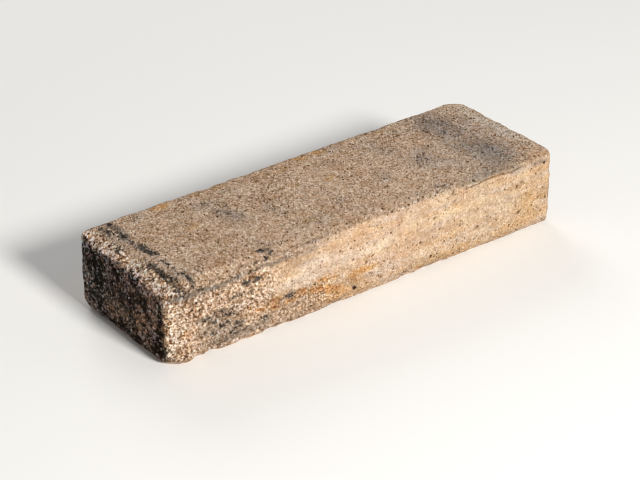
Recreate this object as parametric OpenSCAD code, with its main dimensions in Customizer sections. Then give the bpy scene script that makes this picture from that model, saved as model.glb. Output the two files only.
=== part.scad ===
// Slim concrete wall block: one solid casting with two flat beds,
// tumbled so that its arrises are rounded, bevelled and chipped.
// Millimetres. X runs along the block, Y across the bed, Z from bed to bed.
// Origin: middle of the bottom bed.

/* [Block] */
// Length of the block, end to end
block_l = 300; // [240:1:400]
// Width of the bed, face to back
block_w = 96; // [84:1:140]
// Height, bottom bed to top bed
block_h = 53; // [45:1:90]

/* [Rounded arrises] */
// Radius of the four upright arrises
upright_r = 5; // [4:0.5:8]
// Radius of the arrises round the top bed
top_r = 4.5; // [3:0.5:6]
// Radius of the arrises round the bottom bed
bed_r = 4.5; // [3:0.5:6]

/* [Worn end] */
// How far the worn slope runs in from the -X end, at the face
end_run = 15; // [8:0.5:20]
// Fall of that slope below the top bed, in degrees
end_fall = 21; // [12:1:30]
// Turn of the slope in plan, which narrows it towards the back, in degrees
end_turn = 4; // [0:0.5:6]

/* [Worn face arris] */
// How far the worn slope runs in from the face, at the -X end
face_run = 10; // [6:0.5:14]
// Fall of that slope below the top bed, in degrees
face_fall = 30; // [20:1:40]
// Turn of the slope in plan, which fades it out along the face, in degrees
face_turn = 4; // [3:0.5:7]

/* [Chips] */
// Depth of the clipped corners, measured in from the sharp corner
corner_clip = 7; // [6:0.5:9]
// Scale of the depth of every chip
chip_depth = 1; // [0.7:0.1:1.3]

/* [Hidden] */
$fn = 48;
over = 40; // overshoot of the cutting solids

// Outline of one view: a rectangle centred in u, standing on v = 0,
// with one radius for its lower corners and one for its upper corners.
module outline(u, v, low_r, high_r) {
    difference() {
        translate([-u / 2, 0]) square([u, v]);
        for (s = [-1, 1]) {
            corner_waste(s * u / 2, 0, -s, 1, low_r);
            corner_waste(s * u / 2, v, -s, -1, high_r);
        }
    }
}

// What a radius takes off a sharp corner at (u, v); the signs a and b
// point from the corner into the outline.
module corner_waste(u, v, a, b, r) {
    translate([u, v]) mirror([a < 0 ? 1 : 0, 0, 0]) mirror([0, b < 0 ? 1 : 0, 0])
        difference() {
            translate([-1, -1]) square(r + 1);
            translate([r, r]) circle(r = r);
        }
}

// The block as it leaves the tumbler before its larger damage:
// the three outlines, each run through the whole block, where they meet.
module tumbled_blank() {
    intersection() {
        linear_extrude(height = block_h)
            translate([0, -block_w / 2]) outline(block_l, block_w, upright_r, upright_r);
        rotate([90, 0, 0])
            linear_extrude(height = block_w + 2 * over, center = true)
                outline(block_l, block_h, bed_r, top_r);
        rotate([90, 0, 90])
            linear_extrude(height = block_l + 2 * over, center = true)
                outline(block_w, block_h, bed_r, top_r);
    }
}

// Slope worn along the top of the -X end, widest at the face.
module end_slope() {
    translate([-block_l / 2 + end_run, -block_w / 2, block_h])
        rotate([0, 0, end_turn]) rotate([0, -end_fall, 0])
            translate([-over, -over, 0]) cube([over, block_w + 2 * over, over]);
}

// Slope worn along the top of the face, widest at the -X end and fading out.
module face_slope() {
    translate([-block_l / 2, -block_w / 2 + face_run, block_h])
        rotate([0, 0, -face_turn]) rotate([face_fall, 0, 0])
            translate([-over, -over, 0]) cube([block_l + 2 * over, over, over]);
}

// A corner knocked off square to its diagonal. (a, b, c) are the signs of
// the corner, and depth is how far the cut stands in from the sharp corner.
module clipped_corner(a, b, c, depth) {
    translate([a * block_l / 2, b * block_w / 2, c > 0 ? block_h : 0])
        rotate([0, 0, atan2(b, a)]) rotate([0, 90 - c * 35.26, 0])
            translate([0, 0, -depth]) translate([-over, -over, 0]) cube([2 * over, 2 * over, over]);
}

// A bite out of a long arris at x: (b, c) are the signs of the arris.
module arris_chip(x, b, c, r, depth) {
    out = (r - depth * chip_depth) / sqrt(2);
    translate([x, b * (block_w / 2 + out), (c > 0 ? block_h : 0) + c * out]) sphere(r = r);
}

// A bite out of an end arris at y: (a, c) are the signs of the arris.
module end_chip(y, a, c, r, depth) {
    out = (r - depth * chip_depth) / sqrt(2);
    translate([a * (block_l / 2 + out), y, (c > 0 ? block_h : 0) + c * out]) sphere(r = r);
}

// The whole casting.
module wall_block() {
    color([0.68, 0.56, 0.44])
    difference() {
        tumbled_blank();
        end_slope();
        face_slope();
        clipped_corner(-1, -1, -1, corner_clip);
        clipped_corner(-1, 1, -1, 0.7 * corner_clip);
        clipped_corner(1, -1, 1, 0.6 * corner_clip);
        clipped_corner(1, 1, 1, corner_clip);
        clipped_corner(1, 1, -1, 0.9 * corner_clip);
        // along the face
        arris_chip(-127.5, -1, -1, 8, 4);
        arris_chip(-118, -1, -1, 7.5, 4.4);
        arris_chip(46, -1, -1, 24, 2.8);
        // along the back
        arris_chip(-66, 1, -1, 26, 3.8);
        arris_chip(84, 1, -1, 22, 3.6);
        // across the ends
        end_chip(-18, 1, -1, 20, 3.4);
        end_chip(20, -1, -1, 18, 3.2);
    }
}

wall_block();
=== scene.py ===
"""Looks of the concrete wall block: its worn surface, its concrete, a pale floor,
soft studio light and the camera. Metres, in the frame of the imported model."""

import math

import bpy
import numpy as np
from mathutils import Matrix, Vector


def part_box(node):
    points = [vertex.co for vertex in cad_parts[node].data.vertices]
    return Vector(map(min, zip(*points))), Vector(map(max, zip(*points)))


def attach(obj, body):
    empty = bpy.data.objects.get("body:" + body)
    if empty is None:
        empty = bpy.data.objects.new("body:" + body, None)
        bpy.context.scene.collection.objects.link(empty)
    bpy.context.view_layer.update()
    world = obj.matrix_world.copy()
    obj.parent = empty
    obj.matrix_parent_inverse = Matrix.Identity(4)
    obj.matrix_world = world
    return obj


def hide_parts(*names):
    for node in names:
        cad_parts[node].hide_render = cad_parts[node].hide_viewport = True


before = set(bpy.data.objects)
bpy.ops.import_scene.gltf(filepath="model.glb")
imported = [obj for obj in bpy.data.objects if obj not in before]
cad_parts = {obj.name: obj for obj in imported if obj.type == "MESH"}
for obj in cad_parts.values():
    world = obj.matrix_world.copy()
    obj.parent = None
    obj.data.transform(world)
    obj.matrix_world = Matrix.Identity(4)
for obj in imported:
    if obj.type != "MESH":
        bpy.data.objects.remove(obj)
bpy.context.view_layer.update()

LOW, HIGH = [np.array(c, float) * 1000 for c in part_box("wall_block")]

# ---------------------------------------------------------------- the block
# All of this section is in millimetres.
HALF = (HIGH - LOW) / 2
MID = (HIGH + LOW) / 2
UPRIGHT_R, TOP_R, BED_R = 5.0, 4.5, 4.5
END_RUN, END_FALL, END_TURN = 15.0, 21.0, 4.0
FACE_RUN, FACE_FALL, FACE_TURN = 10.0, 30.0, 4.0
CLIP = 7.0
COUNTS = (296, 94, 52)  # squares along x, y and z


def lattice():
    """The points of a closed grid on the sharp box, its squares, and which
    side of the box each square is on, with each corner's grid place."""
    n = COUNTS
    i, j, k = np.meshgrid(*[np.arange(c + 1) for c in n], indexing="ij")
    shell = (i == 0) | (i == n[0]) | (j == 0) | (j == n[1]) | (k == 0) | (k == n[2])
    number = np.full(shell.shape, -1)
    number[shell] = np.arange(shell.sum())
    places = np.stack([i[shell], j[shell], k[shell]], 1)

    quads, sides, corners = [], [], []
    for axis in range(3):
        a, b = [x for x in range(3) if x != axis]
        u, v = np.meshgrid(np.arange(n[a]), np.arange(n[b]), indexing="ij")
        u, v = u.ravel(), v.ravel()
        for end in (0, 1):
            ring = []
            for du, dv in ((0, 0), (1, 0), (1, 1), (0, 1)):
                p = np.zeros((len(u), 3), int)
                p[:, a], p[:, b], p[:, axis] = u + du, v + dv, end * n[axis]
                ring.append(p)
            # counter-clockwise seen from outside
            if (end == 0) != (axis == 1):
                ring = ring[::-1]
            ring = np.stack(ring, 1)
            quads.append(number[ring[..., 0], ring[..., 1], ring[..., 2]])
            corners.append(ring)
            sides.append(np.full(len(u), axis * 2 + end))
    return places, np.concatenate(quads), np.concatenate(sides), np.concatenate(corners)


def smooth_max(a, b, k):
    """The larger of two, blended upwards over a width of k."""
    h = np.clip(1 - np.abs(a - b) / k, 0, 1)
    return np.maximum(a, b) + h * h * k / 4


def rounded(u, v, hu, hv, r):
    """Distance to a rectangle of half sizes hu and hv with corners of radius r."""
    qu, qv = np.abs(u) - hu + r, np.abs(v) - hv + r
    return np.minimum(np.maximum(qu, qv), 0) + np.hypot(np.maximum(qu, 0), np.maximum(qv, 0)) - r


def plane(p, at, normal):
    normal = np.array(normal, float)
    return (p - np.array(at, float)) @ (normal / np.linalg.norm(normal))


def turned(vector, about, degrees):
    return np.array(Matrix.Rotation(math.radians(degrees), 3, about) @ Vector(vector))


def bite(p, at, r):
    return r - np.linalg.norm(p - np.array(at, float), axis=1)


def arris_bite(p, x, b, c, r, depth):
    out = (r - depth) / math.sqrt(2)
    return bite(p, (x, b * (HALF[1] + out), c * (HALF[2] + out)), r)


def end_bite(p, y, a, c, r, depth):
    out = (r - depth) / math.sqrt(2)
    return bite(p, (a * (HALF[0] + out), y, c * (HALF[2] + out)), r)


def block(p):
    """Distance-like value of the worn block, negative inside. p is from the middle."""
    x, y, z = p.T
    hx, hy, hz = HALF
    r = np.where(z > 0, TOP_R, BED_R)
    f = rounded(x, y, hx, hy, UPRIGHT_R)
    f = np.maximum(f, rounded(x, z, hx, hz, r))
    f = np.maximum(f, rounded(y, z, hy, hz, r))
    end = turned(turned((0, 0, 1), "Y", -END_FALL), "Z", END_TURN)
    f = smooth_max(f, plane(p, (-hx + END_RUN, -hy, hz), end), 1.6)
    face = turned(turned((0, 0, 1), "X", FACE_FALL), "Z", -FACE_TURN)
    f = smooth_max(f, plane(p, (-hx, -hy + FACE_RUN, hz), face), 1.6)
    for a, b, c, depth in (
        (-1, -1, -1, CLIP),
        (-1, 1, -1, 0.7 * CLIP),
        (1, -1, 1, 0.6 * CLIP),
        (1, 1, 1, CLIP),
        (1, 1, -1, 0.9 * CLIP),
    ):
        sign = np.array((a, b, c), float)
        f = smooth_max(f, plane(p, sign * HALF, sign) + depth, 2.2)
    for cut in (
        arris_bite(p, -127.5, -1, -1, 8, 4),
        arris_bite(p, -118, -1, -1, 7.5, 4.4),
        arris_bite(p, 46, -1, -1, 24, 2.8),
        arris_bite(p, -66, 1, -1, 26, 3.8),
        arris_bite(p, 84, 1, -1, 22, 3.6),
        end_bite(p, -18, 1, -1, 20, 3.4),
        end_bite(p, 20, -1, -1, 18, 3.2),
    ):
        f = smooth_max(f, cut, 1.2)
    return f


def settle(p, core):
    """Each point p moved towards its core point until it meets the block."""
    near, far = np.zeros(len(p)), np.ones(len(p))
    for _ in range(22):
        t = (near + far) / 2
        outside = block(p + (core - p) * t[:, None]) > 0
        near, far = np.where(outside, t, near), np.where(outside, far, t)
    return p + (core - p) * far[:, None]


def slope_of(p, h=0.4):
    g = np.stack([block(p + d) - block(p - d) for d in np.eye(3) * h], 1)
    return g / np.maximum(np.linalg.norm(g, axis=1), 1e-9)[:, None]


# ---------------------------------------------------------------- noise
def mixed(i, j, k, seed):
    """A repeatable random number in 0..1 for each whole-number place."""
    h = (
        i.astype(np.int64) * 73856093
        ^ j.astype(np.int64) * 19349663
        ^ k.astype(np.int64) * 83492791
        ^ np.int64(seed * 2654435761 % 2147483647)
    ) & 0xFFFFFFFF
    for shift, factor in ((16, 0x45D9F3B), (15, 0x2C1B3C6D), (16, 0x297A2D39)):
        h = ((h ^ (h >> shift)) * factor) & 0xFFFFFFFF
    return (h ^ (h >> 16)) / 4294967295.0


def value_noise(p, size, seed):
    """Smooth noise in about -1..1 with features of the given size, in mm."""
    q = p / np.asarray(size, float) + 1000.5 + seed * 7.31
    c = np.floor(q).astype(np.int64)
    f = q - c
    f = f * f * f * (f * (f * 6 - 15) + 10)
    total = np.zeros(len(p))
    for a in (0, 1):
        for b in (0, 1):
            for d in (0, 1):
                w = (
                    (f[:, 0] if a else 1 - f[:, 0])
                    * (f[:, 1] if b else 1 - f[:, 1])
                    * (f[:, 2] if d else 1 - f[:, 2])
                )
                total += w * mixed(c[:, 0] + a, c[:, 1] + b, c[:, 2] + d, seed)
    return (total - 0.5) * 2.2


def layered(p, size, seed, octaves=3, fall=0.5):
    total, weight, part = np.zeros(len(p)), 0.0, 1.0
    size = np.asarray(size, float)
    for o in range(octaves):
        total += part * value_noise(p, size / 2**o, seed + 17 * o)
        weight += part
        part *= fall
    return total / weight


def cells(p, size, seed):
    """Distance to the nearest scattered point in cell widths, the distance to
    the second nearest, and the nearest one's random number."""
    q = p / size + 500.5
    base = np.floor(q).astype(np.int64)
    first, second = np.full(len(p), 9.0), np.full(len(p), 9.0)
    pick = np.zeros(len(p))
    for a in (-1, 0, 1):
        for b in (-1, 0, 1):
            for d in (-1, 0, 1):
                c = base + (a, b, d)
                at = np.stack([mixed(c[:, 0], c[:, 1], c[:, 2], seed + s) for s in (1, 2, 3)], 1)
                dist = np.linalg.norm(c + at - q, axis=1)
                closer = dist < first
                second = np.where(closer, first, np.minimum(second, dist))
                pick = np.where(closer, mixed(c[:, 0], c[:, 1], c[:, 2], seed + 9), pick)
                first = np.where(closer, dist, first)
    return first, second, pick


def step(x, low, high):
    t = np.clip((x - low) / (high - low), 0, 1)
    return t * t * (3 - 2 * t)


# ---------------------------------------------------------------- worn surface
places, quads, sides, grid_corners = lattice()
sharp = (places / np.array(COUNTS) - 0.5) * 2 * HALF
core = np.clip(sharp, -(HALF - 14), HALF - 14)
base = settle(sharp, core)
out = slope_of(base)
x, y, z = base.T  # from the middle of the block

# How near each point is to an arris, 1 on it and 0 from 9 mm away
depths = np.sort(HALF - np.abs(base), axis=1)
arris = 1 - step(depths[:, 1], 1.0, 9.0)

# Where the top has lost its skin: the worn slope of the -X end and the corner below it
end_line = -HALF[0] + END_RUN - 0.07 * (y + HALF[1]) + 2.0 * layered(base, 9, 5)
worn_end = step(end_line - x, -2.5, 3.5) * step(z, HALF[2] - 16, HALF[2] - 8)
face_line = -HALF[1] + FACE_RUN - 0.07 * (x + HALF[0]) + 1.5 * layered(base, 9, 6)
worn_face = step(face_line - y, -2.0, 3.0) * step(z, HALF[2] - 14, HALF[2] - 7) * step(-x, 20, 60)
on_face = step(-out[:, 1], 0.3, 0.75)
on_back = step(out[:, 1], 0.3, 0.75)
on_left = step(-out[:, 0], 0.3, 0.75)
on_right = step(out[:, 0], 0.3, 0.75)
on_top = step(out[:, 2], 0.3, 0.75)
on_bed = step(-out[:, 2], 0.3, 0.75)
low_face = step(-z, -6 + 6 * layered(base, 22, 9), 8)  # the lower half is rougher
left_face = on_face * np.maximum(
    step(-x, 58 + 18 * layered(base, 24, 8), 92), 0.75 * low_face * step(-x, 0 + 20 * layered(base, 18, 7), 40)
)
patchy = 0.5 + 0.5 * layered(base, 30, 12, 3)
coarse = np.clip(
    np.maximum.reduce([
        worn_end,
        0.96 * step(-x, 141, 147) * step(-y, 38, 44),
        0.45 * worn_face,
        0.8 * left_face,
        0.30 * arris,
        0.55 * on_left,
        on_back * step(patchy, 0.5, 0.75) * 0.7,
        on_right * step(patchy, 0.5, 0.8) * 0.6,
        on_bed * 0.25,
    ]),
    0,
    1,
)

# How open the skin is: many small gaps at 1, darkened as painted shade, and a closed smooth skin at 0
top_open = 0.80 - 0.0010 * x + 0.0020 * y + 0.25 * layered(base, 24, 14)
face_open = 0.16 + 0.18 * low_face + 0.12 * layered(base, 20, 15)
pitted = np.clip(
    on_top * top_open
    + on_face * face_open
    + (on_left + on_right + on_back + on_bed) * (0.45 + 0.35 * layered(base, 22, 16)),
    0.05,
    1,
)
pitted = np.clip(np.maximum(pitted, coarse), 0, 1)

# Relief, as a depth below the true surface
first, second, pick = cells(base, 2.7, 11)
grains = step(first, 0.1, 0.75) * (0.45 + 0.55 * pick)
fine = 0.5 + 0.5 * value_noise(base, 1.5, 21)
swell = 0.5 + 0.5 * layered(base, 26, 31)
ragged = 0.5 + 0.5 * layered(base, 6.5, 41, 3, 0.6)
hole, _, hole_pick = cells(base, 7.5, 51)
hole_r = 0.09 + 0.09 * (hole_pick * 7 % 1)
holes = (1 - step(hole, hole_r * 0.5, hole_r * 1.5)) * (hole_pick > 0.72 - 0.3 * pitted)
pock, _, pock_pick = cells(base, 4.2, 61)
pocks = (1 - step(pock, 0.08, 0.34)) * (pock_pick > 0.45) * coarse

# Single deep pores and a thin split under the face's top arris: (side, u, v, radius)
X0, Y0, Z0 = HALF
ON = {
    "top": lambda p: (p[:, 0], p[:, 1], on_top),
    "bottom": lambda p: (p[:, 0], p[:, 1], on_bed),
    "face": lambda p: (p[:, 0], p[:, 2] + Z0, on_face),
    "back": lambda p: (p[:, 0], p[:, 2] + Z0, on_back),
    "left": lambda p: (p[:, 1], p[:, 2] + Z0, on_left),
    "right": lambda p: (p[:, 1], p[:, 2] + Z0, on_right),
}
PORES = [
    ("face", -24, 37.5, 1.2), ("face", 24, 42, 1.1), ("face", 39.5, 21.5, 1.5), ("face", 50.5, 35, 1.3),
    ("face", 36.5, 36, 0.9), ("face", 60.5, 46, 1.0), ("face", 83, 51, 1.2), ("face", 87, 17, 1.4),
    ("face", 119, 35.5, 1.6), ("face", 115.5, 28, 1.0), ("face", 138, 22, 1.4), ("face", 122, 16.5, 1.0),
    ("face", 8, 8.5, 1.1), ("face", -13, 8, 1.8), ("face", 69, 17, 0.9), ("face", -40, 42, 1.1),
    ("face", 126, 11, 0.9), ("face", 18, 11, 0.9), ("face", 97, 20, 0.9), ("face", 109, 20, 0.9),
    ("face", -33, 27, 0.9), ("face", 5, 45, 1.0), ("face", 134, 47, 1.2), ("face", 48, 9, 1.1),
    ("top", -38, -11, 1.4), ("top", -5, -20, 1.5), ("top", 38, -13, 1.5), ("top", 38.5, -46, 1.4),
    ("top", 116, 5, 1.6), ("top", 101, 21, 2.0), ("top", 137, 19, 1.6), ("top", 72, -22, 1.4),
    ("top", 62, -42, 1.3), ("top", -48, 24, 1.2), ("top", -87, 18, 1.3), ("top", -39, 6, 1.3),
    ("top", 16, 43, 1.5), ("top", -28, -33, 1.1), ("top", 31, 11, 1.1), ("top", -82, -14, 1.2),
    ("back", -90, 30, 1.5), ("back", -12, 18, 1.3), ("back", 60, 36, 1.6), ("back", 104, 14, 1.2),
    ("back", 20, 40, 1.1), ("back", -48, 10, 1.2), ("right", -20, 20, 1.4), ("right", 18, 36, 1.3),
    ("right", 32, 14, 1.1), ("bottom", -60, 20, 1.6), ("bottom", 30, -20, 1.4), ("bottom", 110, 12, 1.5),
]
pores = np.zeros(len(base))
for side, u0, v0, r0 in PORES:
    u, v, here = ON[side](base)
    r0 = 0.8 * r0
    pores = np.maximum(pores, (1 - step(np.hypot(u - u0, v - v0), 0.45 * r0, 1.25 * r0)) * (here > 0.3))
SPLIT = [(70, 47.4), (82, 47.6), (93, 48.7), (108, 48.4), (113, 47.2), (121, 48.6), (127, 48.2)]
u, v, here = ON["face"](base)
line = np.interp(u, [q[0] for q in SPLIT], [q[1] for q in SPLIT]) + 0.3 * value_noise(base, 3, 71)
inside = step(u, 68, 80) * (1 - step(u, 118, 128))
split = (1 - step(np.abs(v - line), 0.25, 0.95)) * inside * (here > 0.1)
fin = (1 - step(np.abs(v - line - 1.9), 0.5, 1.6)) * inside * (here > 0.1)

depth = (
    0.18 * swell
    + (0.14 + 0.36 * coarse) * grains
    + (0.10 + 0.22 * coarse) * fine
    + (0.12 + 0.50 * coarse + 0.55 * arris * arris) * ragged
    + 0.55 * holes
    + 0.75 * pocks
    + 1.0 * pores
    + 0.6 * split
    - 0.15 * fin
)
depth = depth - np.percentile(depth, 1)
crisp = np.maximum(0.60 * step(x, 115, 142) * (0.55 + 0.45 * step(-z, -19, -8)), 0.30 * step(-y, 30, 42) * step(-z, 5, 18) * step(x, -110, -90))
crisp = np.maximum(crisp, 0.25 * step(-x, 130, 144) * step(y, 30, 42) * step(z, -12, 4))
depth = depth - crisp * arris
# Small nicks (above 0) and swellings of the arrises: (arris, place along it, half length, mm)
EDGE = {
    "face bed": (x, step(-y, 38, 44) * step(-z, 14, 22)),
    "end bed": (y, step(-x, 140, 146) * step(-z, 14, 22)),
    "back top": (x, step(y, 38, 44) * step(z, 14, 22)),
    "right top": (y, step(x, 140, 146) * step(z, 14, 22)),
    "right upright": (z + HALF[2], step(x, 140, 146) * step(-y, 38, 44)),
    "left upright": (z + HALF[2], step(-x, 140, 146) * step(y, 38, 44)),
}
NICKS = [
    ("face bed", -144, 4, 0.6), ("face bed", -134, 4, -0.7), ("face bed", -116, 3, 0.5), ("face bed", -96, 4, 0.8),
    ("face bed", -77, 5, 1.0), ("face bed", -66, 5, 0.7), ("face bed", -52, 4, -0.8), ("face bed", -42, 5, -0.6),
    ("face bed", -27, 9, 0.6), ("face bed", -4, 4, -0.4), ("face bed", 12, 9, -0.4), ("face bed", 28, 6, 0.8),
    ("face bed", 56, 6, 0.7), ("face bed", 84, 5, 0.4), ("face bed", 112, 7, -0.5), ("face bed", 149, 3, 1.2),
    ("end bed", 35, 5, 0.5), ("end bed", 8, 10, 0.5), ("end bed", -2, 4, 0.5), ("end bed", -28, 6, 0.4),
    ("back top", 144, 6, 0.4), ("back top", 127, 6, 0.6), ("back top", 78, 5, 0.4), ("back top", -14, 6, 0.4),
    ("back top", -26, 5, 0.5), ("back top", -44, 4, 0.5), ("back top", -58, 7, 0.7), ("back top", -90, 6, -0.4),
    ("back top", -117, 7, -0.5), ("right top", -8, 4, 0.4), ("right top", 12, 8, 0.5), ("right top", 24, 3, 0.4),
    ("right top", 34, 4, 0.4), ("right upright", 39, 4, 0.7), ("right upright", 6, 8, -0.3), ("left upright", 8, 6, -0.1),
    ("left upright", 24, 8, -0.3),
]
for name, at, half, mm_deep in NICKS:
    where, near = EDGE[name]
    depth = depth + mm_deep * near * arris * (1 - step(np.abs(where - at), 0.3 * half, 1.2 * half))
depth = np.clip(depth, 0, 4)
# How deep in a hollow each point lies, between grains and in holes, pocks, pores and the split; the concrete is
# darkened by it as painted shade
cavity = np.clip(
    (0.45 * grains + 0.3 * fine) * (0.3 + 0.7 * coarse) + 0.8 * holes + 0.7 * pocks + 1.2 * pores + 0.75 * split, 0, 1
)
points = base - out * depth[:, None]
points = np.clip(points, -HALF, HALF)
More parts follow.
